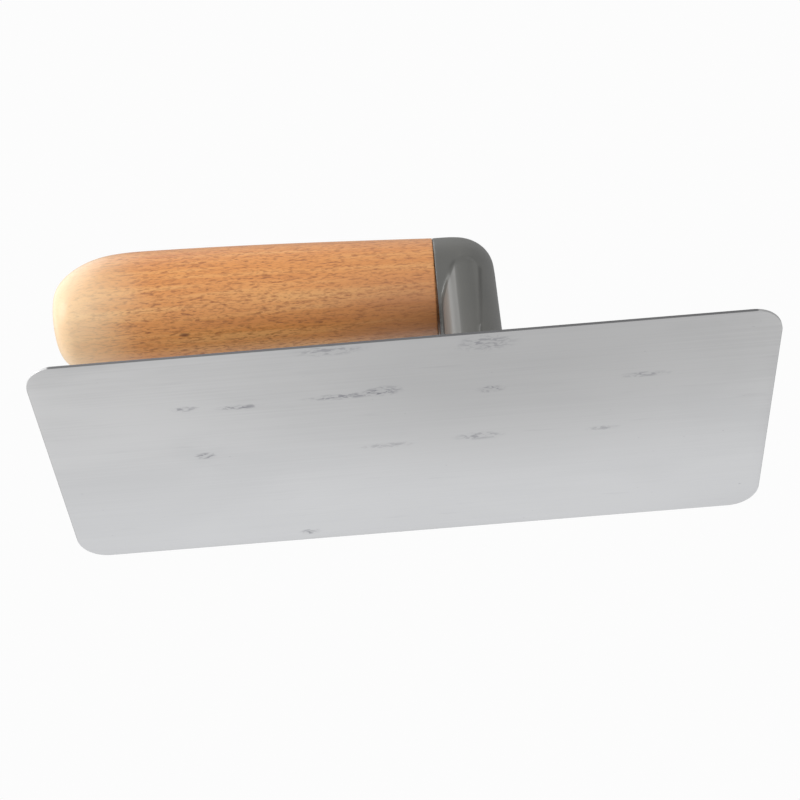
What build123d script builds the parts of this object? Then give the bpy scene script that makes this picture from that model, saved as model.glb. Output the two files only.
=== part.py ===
"""Steel finishing trowel: a flat steel blade, a grey plastic neck and a beech grip.

Millimetres. The origin is the centre of the blade's working face, which lies in z = 0. +X runs along
the blade to its toe, +Z points up to the grip. The grip runs back from the neck over the blade's heel.
"""
from build123d import *
import math
import os

# --- blade: hardened steel sheet -------------------------------------------------------------------
BLADE_LENGTH = 220.0
BLADE_WIDTH = 90.0
BLADE_THICKNESS = 0.9
BLADE_CORNER_RADIUS = 9.0

# --- backing bar: flat strip, spot-welded along the middle of the blade's back ---------------------
BAR_LENGTH = 168.0
BAR_WIDTH = 25.0
BAR_THICKNESS = 2.5
BAR_EDGE_CHAMFER = 0.6
WELD_PITCH = 16.0
WELD_ROW_OFFSET = 8.0
WELD_DIAMETER = 4.4
WELD_DEPTH = 0.35

# --- neck: one plastic moulding of collar, column and foot -----------------------------------------
NECK_FRONT_X = 31.7
COLLAR_LENGTH = 19.7
NOSE_CORNER_RADIUS = 11.0
NOSE_CROWN_LENGTH = 16.0
NOSE_CROWN_DROP = 12.0
NOSE_STATIONS = 8
COLUMN_REAR_SETBACK = 1.5
COLUMN_REAR_CORNER = 7.0
COLUMN_RECESS = 0.6
COLUMN_FRONT_RECESS = 2.4
COLUMN_FRONT_CORNER = 8.5
ARCH_FRONT_INSET = 5.2
ARCH_FRONT_LEAN = 4.4
ARCH_DROP = 2.0
ARCH_RADIUS = 4.8
ARCH_SLOPE = 70.0
ARCH_SKIN = 0.7
FOOT_HEIGHT = 9.0
FOOT_EAR_RADIUS = 11.0
FOOT_TOP_FILLET = 1.6
FOOT_CLEARANCE = 0.25

# --- foot fasteners: two weld studs on the bar, each with a washer and a nut -----------------------
STUD_DIAMETER = 6.0
STUD_SPACING = 50.0
STUD_PROTRUSION = 2.0
STUD_FLANGE_DIAMETER = 8.6
STUD_FLANGE_THICKNESS = 1.0
STUD_WASHER_DIAMETER = 12.0
STUD_WASHER_THICKNESS = 1.6
STUD_NUT_FLATS = 10.0
STUD_NUT_HEIGHT = 5.2

# --- grip: oval beech handle, tilted up towards its butt -------------------------------------------
GRIP_LENGTH = 125.5
GRIP_TILT = 1.25
SEAM_AXIS_HEIGHT = 64.5
SEAM_HEIGHT = 36.2
BELLY_HEIGHT = 40.8
SECTION_RATIO = 0.9
SEAM_RELIEF_ANGLE = 1.0
CROWN_ROUNDING = 28.0
SIDE_ROUNDING = 19.0
HEEL_ROUNDING = 8.0
BUTT_FACE_TOP = 4.5
BUTT_FACE_BOTTOM = 9.5
BUTT_FACE_HALF_WIDTH = 8.5
BUTT_STATIONS = 9
TENON_LENGTH = 9.0
TENON_SHOULDER = 2.1
TENON_CLEARANCE = 0.2

# --- tang bolt: moulded into the neck, through the grip, with a washer and a nut at the butt -------
TANG_DIAMETER = 8.0
TANG_BORE_CLEARANCE = 0.3
TANG_HEAD_FLATS = 13.0
TANG_HEAD_HEIGHT = 5.3
TANG_EMBEDMENT = 15.5
TANG_PROTRUSION = 2.5
TANG_WASHER_DIAMETER = 16.0
TANG_WASHER_THICKNESS = 1.6
TANG_NUT_HEIGHT = 6.5
COUNTERBORE_DIAMETER = 18.0
COUNTERBORE_DEPTH = 13.0

HOLE_CLEARANCE = 0.25
THREAD_CHAMFER = 0.7

# --- places that follow from the sizes above -------------------------------------------------------
BAR_TOP = BLADE_THICKNESS + BAR_THICKNESS
FOOT_TOP = BAR_TOP + FOOT_HEIGHT
SEAM_X = NECK_FRONT_X - COLLAR_LENGTH
COLUMN_REAR_X = SEAM_X + COLUMN_REAR_SETBACK
NECK_CENTRE_X = (COLUMN_REAR_X + NECK_FRONT_X) / 2
COLLAR_HALF_WIDTH = SEAM_HEIGHT * SECTION_RATIO / 2
COLUMN_HALF_WIDTH = COLLAR_HALF_WIDTH - COLUMN_RECESS
STUD_XS = (NECK_CENTRE_X - STUD_SPACING / 2, NECK_CENTRE_X + STUD_SPACING / 2)
TANG_SEAT = -GRIP_LENGTH + COUNTERBORE_DEPTH

# The grip's own frame: its origin is the middle of the seam and its +X runs forward along the axis.
GRIP_FRAME = Location((SEAM_X, 0, SEAM_AXIS_HEIGHT), (0, GRIP_TILT, 0))


def rod(diameter: float, start: float, end: float) -> Part:
    """A round bar along the grip's axis, between two places on it."""
    across = Plane(origin=(start, 0, 0), x_dir=(0, 1, 0), z_dir=(1, 0, 0))
    return extrude(across * Circle(diameter / 2), end - start)


def hex_prism(flats: float, height: float, bore: float) -> Part:
    """A hexagon nut or bolt head standing on z = 0, its corners turned off at 30 degrees."""
    corner = flats / math.sqrt(3)
    body = extrude(RegularPolygon(corner, 6), height)
    drop = (corner - flats / 2) * math.tan(math.radians(30)) + THREAD_CHAMFER / 2
    turned = Pos(0, 0, height / 2) * Cylinder(corner, height)
    body = body & chamfer(turned.edges().filter_by(GeomType.CIRCLE), drop)
    if bore > 0:
        body -= Pos(0, 0, height / 2) * Cylinder(bore / 2, height)
    return body


def washer(outer: float, bore: float, thickness: float) -> Part:
    """A plain washer standing on z = 0."""
    disc = Pos(0, 0, thickness / 2) * Cylinder(outer / 2, thickness)
    return disc - Pos(0, 0, thickness / 2) * Cylinder(bore / 2, thickness)


def blade() -> Part:
    """The rectangular blade with rounded corners."""
    outline = RectangleRounded(BLADE_LENGTH, BLADE_WIDTH, BLADE_CORNER_RADIUS)
    return extrude(outline, BLADE_THICKNESS)


def backing_bar() -> Part:
    """The strip on the blade's back, with round ends and two rows of spot-weld dimples."""
    bar = Pos(0, 0, BLADE_THICKNESS) * extrude(SlotOverall(BAR_LENGTH, BAR_WIDTH), BAR_THICKNESS)
    bar = chamfer(bar.edges().group_by(Axis.Z)[-1], BAR_EDGE_CHAMFER)
    reach = (BAR_LENGTH - BAR_WIDTH) / 2
    count = int(reach // WELD_PITCH)
    for step in range(-count, count + 1):
        for side in (-1, 1):
            spot = Pos(step * WELD_PITCH, side * WELD_ROW_OFFSET, BAR_TOP)
            bar -= spot * Cylinder(WELD_DIAMETER / 2, 2 * WELD_DEPTH)
    return bar


def neck_outline(half_width: float, front_x: float, front_corner: float) -> Sketch:
    """A horizontal section of the column: a box with its own rear and front corner radii."""
    length = front_x - COLUMN_REAR_X
    middle = (front_x + COLUMN_REAR_X) / 2
    box = Pos(middle, 0) * Rectangle(length, 2 * half_width)
    rear = box.vertices().group_by(Axis.X)[0]
    box = fillet(rear, COLUMN_REAR_CORNER)
    return fillet(box.vertices().group_by(Axis.X)[-1], front_corner)


def collar_section(to_front: float) -> Sketch:
    """The oval across the collar at a distance behind its nose."""
    side = max(0.0, 1 - to_front / NOSE_CORNER_RADIUS)
    crown = max(0.0, 1 - to_front / NOSE_CROWN_LENGTH)
    half_width = COLLAR_HALF_WIDTH - NOSE_CORNER_RADIUS * (1 - math.sqrt(1 - side * side))
    half_height = SEAM_HEIGHT / 2 - NOSE_CROWN_DROP * (1 - math.sqrt(1 - crown * crown))
    place = (NECK_FRONT_X - to_front, 0, SEAM_AXIS_HEIGHT)
    return Plane(origin=place, x_dir=(0, 1, 0), z_dir=(1, 0, 0)) * Ellipse(half_width, half_height)


def neck_hood() -> Part:
    """The collar behind the grip's seam, with its round nose, and the outer column under it."""
    to_front = [COLLAR_LENGTH, NOSE_CROWN_LENGTH]
    to_front += [NOSE_CROWN_LENGTH * (1 - math.sin(step / NOSE_STATIONS * math.pi / 2))
                 for step in range(1, NOSE_STATIONS + 1)]
    collar = loft([collar_section(distance) for distance in to_front], ruled=True)
    lean = Location((SEAM_X, 0, SEAM_AXIS_HEIGHT), (0, -SEAM_RELIEF_ANGLE, 0))
    reach = 2 * SEAM_HEIGHT
    collar -= lean * Pos(-reach / 2, 0, -reach / 2) * Box(reach, reach, reach)
    outline = neck_outline(COLLAR_HALF_WIDTH, NECK_FRONT_X, NOSE_CORNER_RADIUS)
    height = SEAM_AXIS_HEIGHT - BAR_TOP
    return collar + Pos(0, 0, BAR_TOP) * extrude(outline, height)


def arch_relief() -> Part:
    """What is cut from each side of the hood, so that the column stands back under an arched edge."""
    front = NECK_FRONT_X - ARCH_FRONT_INSET
    top = SEAM_AXIS_HEIGHT - ARCH_DROP
    turn = math.radians(ARCH_SLOPE)
    centre_x = front - ARCH_RADIUS
    centre_z = top - ARCH_RADIUS
    crown = Pos(centre_x, centre_z) * Circle(ARCH_RADIUS)
    touch_x = centre_x - ARCH_RADIUS * math.sin(turn)
    touch_z = centre_z + ARCH_RADIUS * math.cos(turn)
    rear_x = COLUMN_REAR_X - COLUMN_REAR_CORNER
    rear_z = touch_z - (touch_x - rear_x) * math.tan(turn)
    foot_x = front - (centre_z - FOOT_TOP) * math.tan(math.radians(ARCH_FRONT_LEAN))
    side = make_face(Polyline((foot_x, FOOT_TOP), (front, centre_z), (centre_x, centre_z),
                              (touch_x, touch_z), (rear_x, rear_z), (rear_x, FOOT_TOP), close=True))
    upright = Plane(origin=(0, 0, 0), x_dir=(1, 0, 0), z_dir=(0, -1, 0))
    width = 2 * SEAM_HEIGHT
    relief = extrude(upright * (side + crown), width / 2, both=True)
    core_front = NECK_FRONT_X - COLUMN_FRONT_RECESS
    core = extrude(neck_outline(COLUMN_HALF_WIDTH, core_front, COLUMN_FRONT_CORNER), 2 * SEAM_HEIGHT)
    skin_gap = 2 * (COLUMN_HALF_WIDTH - ARCH_SKIN)
    middle = Pos(NECK_CENTRE_X, 0, SEAM_HEIGHT) * Box(width, skin_gap, 2 * SEAM_HEIGHT + width)
    return relief - core - middle


def neck_foot() -> Part:
    """The foot: two ears drawn out of the column's base, straddling the bar."""
    ears = Sketch() + [Pos(x, 0) * Circle(FOOT_EAR_RADIUS) for x in STUD_XS]
    base = neck_outline(COLLAR_HALF_WIDTH, NECK_FRONT_X, NOSE_CORNER_RADIUS)
    plan = make_hull((ears + base).edges())
    start = BLADE_THICKNESS + FOOT_CLEARANCE
    foot = Pos(0, 0, start) * extrude(plan, FOOT_TOP - start)
    foot = fillet(foot.edges().group_by(Axis.Z)[-1], FOOT_TOP_FILLET)
    channel_height = BAR_TOP
    channel = Box(2 * BAR_LENGTH, BAR_WIDTH + 2 * FOOT_CLEARANCE, channel_height)
    return foot - Pos(0, 0, channel_height / 2) * channel


def neck_moulding() -> Part:
    """The whole neck, hollowed for the grip's tenon, the tang bolt and the weld studs."""
    neck = neck_hood() - arch_relief() + neck_foot()
    neck -= GRIP_FRAME * grip_tenon(TENON_CLEARANCE)
    neck -= tang_bolt()
    for x in STUD_XS:
        hole = STUD_DIAMETER + 2 * HOLE_CLEARANCE
        neck -= Pos(x, 0, FOOT_TOP) * Cylinder(hole / 2, 2 * FOOT_HEIGHT)
        seat = STUD_FLANGE_THICKNESS + HOLE_CLEARANCE
        neck -= Pos(x, 0, BAR_TOP + seat / 2) * Cylinder(STUD_FLANGE_DIAMETER / 2 + HOLE_CLEARANCE, seat)
    return neck


def weld_studs() -> Part:
    """Two threaded studs, welded to the bar by their flanges."""
    height = FOOT_HEIGHT + STUD_WASHER_THICKNESS + STUD_NUT_HEIGHT + STUD_PROTRUSION
    shank = Pos(0, 0, height / 2) * Cylinder(STUD_DIAMETER / 2, height)
    shank = chamfer(shank.edges().group_by(Axis.Z)[-1], THREAD_CHAMFER)
    flange = Pos(0, 0, STUD_FLANGE_THICKNESS / 2)
    stud = shank + flange * Cylinder(STUD_FLANGE_DIAMETER / 2, STUD_FLANGE_THICKNESS)
    return Part() + [Pos(x, 0, BAR_TOP) * stud for x in STUD_XS]


def stud_washers() -> Part:
    """The two washers on the foot's ears."""
    bore = STUD_DIAMETER + 2 * HOLE_CLEARANCE
    ring = washer(STUD_WASHER_DIAMETER, bore, STUD_WASHER_THICKNESS)
    return Part() + [Pos(x, 0, FOOT_TOP) * ring for x in STUD_XS]


def stud_nuts() -> Part:
    """The two nuts that hold the foot down."""
    nut = hex_prism(STUD_NUT_FLATS, STUD_NUT_HEIGHT, STUD_DIAMETER)
    return Part() + [Pos(x, 0, FOOT_TOP + STUD_WASHER_THICKNESS) * nut for x in STUD_XS]


def grip_section(back: float) -> Sketch:
    """The oval across the grip at a distance back from the seam, in the grip's own frame."""
    swell = math.sin(min(1.0, max(0.0, back) / (GRIP_LENGTH - CROWN_ROUNDING)) * math.pi / 2)
    half = (SEAM_HEIGHT + (BELLY_HEIGHT - SEAM_HEIGHT) * swell) / 2

    def rounded(full: float, face: float, length: float) -> float:
        """A size that falls along a quarter ellipse from the full section to the butt's end face."""
        into = max(0.0, (back - GRIP_LENGTH + length) / length)
        return face + (full - face) * math.sqrt(max(0.0, 1 - into * into))

    top = rounded(half, BUTT_FACE_TOP, CROWN_ROUNDING)
    bottom = rounded(half, BUTT_FACE_BOTTOM, HEEL_ROUNDING)
    half_width = rounded(half * SECTION_RATIO, BUTT_FACE_HALF_WIDTH, SIDE_ROUNDING)
    across = Plane(origin=(-back, 0, (top - bottom) / 2), x_dir=(0, 1, 0), z_dir=(1, 0, 0))
    return across * Ellipse(half_width, (top + bottom) / 2)


def grip_body() -> Part:
    """The outside of the grip in its own frame: ovals that swell to the belly and close at the butt."""
    straight = GRIP_LENGTH - CROWN_ROUNDING
    backs = [-COLLAR_LENGTH / 4, 0, straight / 3, 2 * straight / 3]
    for length in (CROWN_ROUNDING, HEEL_ROUNDING):
        for step in range(BUTT_STATIONS + 1):
            backs.append(GRIP_LENGTH - length * math.cos(step / BUTT_STATIONS * math.pi / 2))
    spread = HEEL_ROUNDING / (2 * BUTT_STATIONS) ** 2
    kept = [backs[0]]
    for back in sorted(backs)[1:]:
        if back - kept[-1] > spread:
            kept.append(back)
    return loft([grip_section(back) for back in kept], ruled=True)


def grip_tenon(clearance: float) -> Part:
    """The grip's oval tenon in the grip's frame, or with a clearance the socket that it enters."""
    height = SEAM_HEIGHT - 2 * TENON_SHOULDER + 2 * clearance
    across = Plane(origin=(-TENON_LENGTH, 0, 0), x_dir=(0, 1, 0), z_dir=(1, 0, 0))
    return extrude(across * Ellipse(height * SECTION_RATIO / 2, height / 2), 2 * TENON_LENGTH + clearance)


def handle_grip() -> Part:
    """The beech grip, with the tenon that enters the neck, the tang's bore and the nut's counterbore."""
    beyond = 2 * COLLAR_LENGTH
    square = Pos(beyond / 2, 0, 0) * Box(beyond, 2 * SEAM_HEIGHT, 2 * SEAM_HEIGHT)
    body = GRIP_FRAME * (grip_body() - square)
    body -= Pos(SEAM_X, 0, SEAM_AXIS_HEIGHT) * square
    body += GRIP_FRAME * grip_tenon(0)
    bore = TANG_DIAMETER + 2 * TANG_BORE_CLEARANCE
    body -= GRIP_FRAME * rod(bore, -GRIP_LENGTH, COLLAR_LENGTH)
    return body - GRIP_FRAME * rod(COUNTERBORE_DIAMETER, -GRIP_LENGTH - COLLAR_LENGTH, TANG_SEAT)


def tang_bolt() -> Part:
    """The long hexagon bolt whose head is moulded into the collar and whose shank holds the grip."""
    end = TANG_SEAT - TANG_WASHER_THICKNESS - TANG_NUT_HEIGHT - TANG_PROTRUSION
    shank = rod(TANG_DIAMETER, end, TANG_EMBEDMENT)
    shank = chamfer(shank.edges().group_by(Axis.X)[0], THREAD_CHAMFER)
    head = Location((TANG_EMBEDMENT - TANG_HEAD_HEIGHT, 0, 0), (0, 90, 0))
    return GRIP_FRAME * (shank + head * hex_prism(TANG_HEAD_FLATS, TANG_HEAD_HEIGHT, 0))


def tang_washer() -> Part:
    """The washer at the bottom of the grip's counterbore."""
    bore = TANG_DIAMETER + 2 * HOLE_CLEARANCE
    ring = washer(TANG_WASHER_DIAMETER, bore, TANG_WASHER_THICKNESS)
    return GRIP_FRAME * Location((TANG_SEAT, 0, 0), (0, -90, 0)) * ring


def tang_nut() -> Part:
    """The nut that draws the grip up against the collar."""
    nut = hex_prism(TANG_HEAD_FLATS, TANG_NUT_HEIGHT, TANG_DIAMETER)
    return GRIP_FRAME * Location((TANG_SEAT - TANG_WASHER_THICKNESS, 0, 0), (0, -90, 0)) * nut


NODES = {
    "blade": blade,
    "backing_bar": backing_bar,
    "weld_studs": weld_studs,
    "neck_moulding": neck_moulding,
    "stud_washers": stud_washers,
    "stud_nuts": stud_nuts,
    "tang_bolt": tang_bolt,
    "handle_grip": handle_grip,
    "tang_washer": tang_washer,
    "tang_nut": tang_nut,
}

os.makedirs("parts", exist_ok=True)
for name, make in NODES.items():
    export_step(make(), f"parts/{name}.step")
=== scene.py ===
"""Steel finishing trowel: the finished surfaces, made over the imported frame.

Everything is in metres and in the frame's own axes. The origin is the middle of the blade's working
face, +X runs along the blade to its toe and +Z points from the working face up to the grip.
"""

from __future__ import annotations

import logging
import math
from collections.abc import Callable, Mapping, Sequence
from dataclasses import dataclass, field
from enum import Enum
from typing import Any

import bmesh
import bpy
from bpy.types import ID, Material, Mesh, Node, NodeSocket, NodeTree, Object
from mathutils import Euler, Matrix, Vector

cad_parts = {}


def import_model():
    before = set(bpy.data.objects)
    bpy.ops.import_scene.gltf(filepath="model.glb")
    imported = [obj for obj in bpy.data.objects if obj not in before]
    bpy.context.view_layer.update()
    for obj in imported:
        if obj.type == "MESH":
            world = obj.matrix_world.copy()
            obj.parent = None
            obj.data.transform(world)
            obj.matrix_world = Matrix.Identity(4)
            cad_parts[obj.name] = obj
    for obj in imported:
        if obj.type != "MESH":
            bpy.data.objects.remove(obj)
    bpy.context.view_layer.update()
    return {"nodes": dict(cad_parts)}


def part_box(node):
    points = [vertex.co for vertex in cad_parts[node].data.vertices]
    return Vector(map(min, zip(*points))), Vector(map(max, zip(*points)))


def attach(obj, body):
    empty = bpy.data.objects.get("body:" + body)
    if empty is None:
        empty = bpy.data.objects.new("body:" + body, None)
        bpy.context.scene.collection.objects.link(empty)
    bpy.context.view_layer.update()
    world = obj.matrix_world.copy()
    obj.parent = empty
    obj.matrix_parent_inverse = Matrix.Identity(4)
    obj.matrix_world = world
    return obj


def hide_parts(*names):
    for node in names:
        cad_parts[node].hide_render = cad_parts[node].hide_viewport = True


LOG = logging.getLogger("trowel")
BODY = "root"
HAIR = 0.00005

Colour = tuple[float, float, float]
Triple = tuple[float, float, float]
ORIGIN = (0.0, 0.0, 0.0)


class Slot(Enum):
    """Names of material slots; no piece in this script is given one."""

    BLADE = "blade_steel"
    BAR = "bar_steel"
    ZINC = "zinc_steel"
    PLASTIC = "grey_plastic"
    BEECH = "beech"


# --- node graphs ---


def _two_valued(operation: str, swapped: bool = False) -> Callable[[Term, Term | float], Term]:
    """A method of Term that adds a Math node of two values.

    Args:
        operation: The node's operation.
        swapped: Whether the term comes second, as in a reflected operator.

    Returns:
        The method.
    """

    def method(self: Term, value: Term | float) -> Term:
        """The result of the operation."""
        return self.graph.math(operation, *((value, self) if swapped else (self, value)))

    return method


def _one_valued(operation: str) -> Callable[[Term], Term]:
    """A method of Term that adds a Math node of one value."""
    return lambda self: self.graph.math(operation, self)


class Term:
    """A node's output, on which arithmetic adds Math nodes."""

    def __init__(self, graph: Graph, socket: NodeSocket) -> None:
        """Wraps one socket.

        Args:
            graph: The graph that the socket belongs to.
            socket: The output socket.
        """
        self.graph = graph
        self.socket = socket

    def other(self, output: str | int) -> Term:
        """Another output of the same node."""
        return Term(self.graph, self.socket.node.outputs[output])

    __add__ = __radd__ = _two_valued("ADD")
    __sub__ = _two_valued("SUBTRACT")
    __rsub__ = _two_valued("SUBTRACT", swapped=True)
    __mul__ = __rmul__ = _two_valued("MULTIPLY")
    __truediv__ = _two_valued("DIVIDE")
    __rtruediv__ = _two_valued("DIVIDE", swapped=True)
    at_least = _two_valued("MAXIMUM")
    at_most = _two_valued("MINIMUM")
    root = _one_valued("SQRT")
    sine = _one_valued("SINE")
    cosine = _one_valued("COSINE")
    size = _one_valued("ABSOLUTE")
    nearest = _one_valued("ROUND")

    def __neg__(self) -> Term:
        """The value with its sign changed."""
        return self * -1.0

    def beside(self, value: Term) -> Term:
        """The length of the flat vector that has these two values."""
        return (self * self + value * value).root()

    def held(self) -> Term:
        """The value kept between 0 and 1."""
        return self.at_least(0.0).at_most(1.0)


class Graph:
    """A node tree that is filled by calls and by expressions on terms."""

    def __init__(self, tree: NodeTree) -> None:
        """Starts on a tree.

        Args:
            tree: The tree, whose nodes are cleared.
        """
        self.tree = tree
        tree.nodes.clear()

    def node(
        self,
        kind: str,
        settings: Mapping[str, Any] | None = None,
        sockets: Mapping[str | int, Any] | None = None,
        output: str | int = 0,
    ) -> Term:
        """Adds one node.

        Args:
            kind: The node's type.
            settings: The node's properties, set first. "stops" fills a colour ramp.
            sockets: Values or terms for its inputs, by name or number.
            output: Which output the term stands for.

        Returns:
            The term of that output.
        """
        made = self.tree.nodes.new(kind)
        for name, value in (settings or {}).items():
            if name == "stops":
                self._set_stops(made, value)
            else:
                setattr(made, name, value)
        for name, value in (sockets or {}).items():
            if isinstance(value, Term):
                self.tree.links.new(value.socket, made.inputs[name])
            else:
                made.inputs[name].default_value = value
        if not made.outputs:
            return Term(self, made.inputs[0])
        return Term(self, made.outputs[output])

    @staticmethod
    def _set_stops(made: Node, stops: Sequence[tuple[float, Colour]]) -> None:
        """Gives a ramp its stops, in place of its own two."""
        elements = made.color_ramp.elements
        while len(elements) > 1:
            elements.remove(elements[-1])
        elements[0].position = stops[0][0]
        elements[0].color = (*stops[0][1], 1.0)
        for place, colour in stops[1:]:
            elements.new(place).color = (*colour, 1.0)

    def math(self, operation: str, first: Term | float, second: Term | float | None = None) -> Term:
        """Adds a Math node.

        Args:
            operation: The node's operation.
            first: The first value.
            second: The second value, where the operation has one.

        Returns:
            The result.
        """
        sockets: dict[str | int, Any] = {0: first}
        if second is not None:
            sockets[1] = second
        return self.node("ShaderNodeMath", {"operation": operation}, sockets)

    def step(self, value: Term, low: float, high: float) -> Term:
        """A smooth rise from 0 at low to 1 at high, or a fall where low is the larger."""
        sockets = {"Value": value, "From Min": low, "From Max": high}
        return self.node("ShaderNodeMapRange", {"interpolation_type": "SMOOTHSTEP"}, sockets)


class Surface(Graph):
    """A material's tree, which ends in one Principled shader."""

    def __init__(self, name: str) -> None:
        """Makes the material.

        Args:
            name: The finish's name.
        """
        self.material = bpy.data.materials.new(name)
        self.material.use_nodes = True
        super().__init__(self.material.node_tree)

    def place(self, stretch: Triple = (1.0, 1.0, 1.0), shift: Triple = ORIGIN) -> Term:
        """Object coordinates in metres, stretched for a pattern."""
        at = self.node("ShaderNodeTexCoord", output="Object")
        return self.node("ShaderNodeMapping", None, {"Vector": at, "Scale": stretch, "Location": shift})

    def axes(self) -> tuple[Term, Term, Term]:
        """The three object coordinates as separate values."""
        split = self.node("ShaderNodeSeparateXYZ", None, {0: self.place()})
        return split, split.other(1), split.other(2)

    def noise(self, stretch: Triple, detail: float, warp: float = 0.0, shift: Triple = ORIGIN) -> Term:
        """A noise value from 0 to 1, its stretch in waves per metre."""
        at = self.place(stretch, shift)
        sockets = {"Vector": at, "Scale": 1.0, "Detail": detail, "Distortion": warp}
        return self.node("ShaderNodeTexNoise", None, sockets)

    def ramp(self, value: Term, stops: Sequence[tuple[float, Colour]]) -> Term:
        """A colour read from a value by a ramp."""
        return self.node("ShaderNodeValToRGB", {"stops": stops}, {"Fac": value})

    def mix(self, factor: Term | float, first: Term | Colour, second: Term | Colour) -> Term:
        """Two colours mixed, the factor giving how much of the second."""
        sockets = {0: factor, 6: self._rgba(first), 7: self._rgba(second)}
        return self.node("ShaderNodeMix", {"data_type": "RGBA"}, sockets, output=2)

    @staticmethod
    def _rgba(colour: Term | Colour) -> Term | tuple[float, ...]:
        """A colour with its alpha, or a term as it is."""
        return colour if isinstance(colour, Term) else (*colour, 1.0)

    def relief(self, height: Term, depth: float) -> Term:
        """A normal from a height, with its depth in metres."""
        return self.node("ShaderNodeBump", None, {"Height": height, "Distance": depth, "Strength": 1.0})

    def finish(self, sockets: Mapping[str | int, Any]) -> Material:
        """Ends the tree.

        Args:
            sockets: The Principled shader's inputs.

        Returns:
            The material.
        """
        shader = self.node("ShaderNodeBsdfPrincipled", None, sockets)
        self.node("ShaderNodeOutputMaterial", None, {"Surface": shader})
        return self.material


# --- finishes ---


@dataclass(frozen=True)
class Scuff:
    """A short dull mark on the blade, drawn out along it: its place and half sizes in metres."""

    along: float
    across: float
    length: float = 0.006
    width: float = 0.0012
    strength: float = 0.35


@dataclass(frozen=True)
class GroundSteel:
    """Pale ground sheet steel: fine grinding lines, cloudy patches and a few dull scuffs, with painted light
    and shade.
    """

    pale: Colour = (0.55, 0.55, 0.553)
    cloudy: Colour = (0.47, 0.47, 0.473)
    painted_light_side: Colour = (0.60, 0.607, 0.62)
    painted_shade: Colour = (0.40, 0.40, 0.402)
    scuffed: Colour = (0.12, 0.12, 0.15)
    edge_shade: Colour = (0.10, 0.10, 0.105)
    roughness: float = 0.42
    half_length: float = 0.110
    half_width: float = 0.045
    rim: float = 0.00016
    rim_fade: float = 0.0001
    patch: tuple[float, float] = (0.030, -0.034)
    shade_patch_size: tuple[float, float] = (0.110, 0.060)
    scuffs: tuple[Scuff, ...] = (
        Scuff(-0.066, -0.023, 0.0030, 0.0008),
        Scuff(-0.050, -0.022, 0.0045, 0.0007, 0.45),
        Scuff(-0.019, -0.023, 0.0075, 0.0009, 0.40),
        Scuff(-0.007, -0.024, 0.0040, 0.0014, 0.45),
        Scuff(0.025, -0.021, 0.0028, 0.0010, 0.40),
        Scuff(0.071, -0.022, 0.0050, 0.0008, 0.30),
        Scuff(-0.063, -0.001, 0.0022, 0.0010, 0.50),
        Scuff(-0.007, 0.001, 0.0060, 0.0008, 0.22),
        Scuff(0.021, 0.000, 0.0050, 0.0012, 0.30),
        Scuff(0.059, 0.001, 0.0035, 0.0007, 0.25),
        Scuff(-0.035, 0.041, 0.0022, 0.0009, 0.45),
        Scuff(-0.021, -0.043, 0.0070, 0.0015, 0.30),
        Scuff(0.024, -0.041, 0.0060, 0.0022, 0.32),
    )

    def material(self) -> Material:
        """Builds the finish."""
        skin = Surface("Ground steel")
        x, y, z = skin.axes()
        under = skin.step(z, 0.0006, 0.0003)
        lines = skin.noise((14.0, 1500.0, 1500.0), 4.0)
        clouds = skin.noise((16.0, 34.0, 34.0), 4.0, 0.6)
        drawn = skin.noise((38.0, 420.0, 420.0), 3.0, 0.3)
        mottle = skin.step(clouds * 0.75 + lines * 0.25, 0.35, 0.68)
        colour = skin.mix(mottle, self.pale, self.cloudy)
        # Painted light: the working face is painted paler towards its far long edge (+Y), a gradient of light
        # and not of the steel.
        colour = skin.mix(skin.step(y + clouds * 0.02, -0.035, 0.055) * 0.8, colour, self.painted_light_side)
        # Painted shade: a broad darker patch on the working face, centred at patch, stands in for shade and
        # not for a change in the steel.
        far_x = (x - self.patch[0]) / self.shade_patch_size[0]
        far_y = (y - self.patch[1]) / self.shade_patch_size[1]
        patch = skin.step(far_x.beside(far_y) + clouds * 0.5, 1.30, 0.35)
        colour = skin.mix(patch * 0.65, colour, self.painted_shade)
        streak = skin.step(drawn, 0.62, 0.80) * 0.10
        colour = skin.mix(streak, colour, self.scuffed)
        ragged = skin.noise((420.0, 1100.0, 1100.0), 3.0, 0.8)
        marks: Term | float = 0.0
        for scuff in self.scuffs:
            far_x = (x - scuff.along) / scuff.length
            far_y = (y - scuff.across) / scuff.width
            marks = skin.step(far_x.beside(far_y), 1.9, 0.4) * scuff.strength + marks
        marks = (marks * under * (skin.step(ragged, 0.46, 0.60) * 1.15 + 0.15)).held()
        colour = skin.mix(marks, colour, self.scuffed)
        pit = skin.noise((420.0, 900.0, 900.0), 2.0, shift=(1.0, 2.0, 3.0))
        colour = skin.mix(skin.step(pit, 0.74, 0.80) * 0.35, colour, self.scuffed)
        # Painted shade and reflection: the blade's thin edge faces are painted dark all round, standing in
        # for shade and the grip's dark reflection.
        rim: Term | float = 0.0
        for away, half in ((x, self.half_length), (y, self.half_width)):
            start = half - self.rim
            rim = skin.step(away.size(), start, start + self.rim_fade).at_least(rim)
        colour = skin.mix(rim * 0.8, colour, self.edge_shade)
        dull = lines * 0.08 + clouds * 0.10 + marks * 0.15 + (self.roughness - 0.09)
        normal = skin.relief(lines + drawn * 0.5, 0.000012)
        return skin.finish({"Base Color": colour, "Roughness": dull, "Metallic": 1.0, "Normal": normal})


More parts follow.
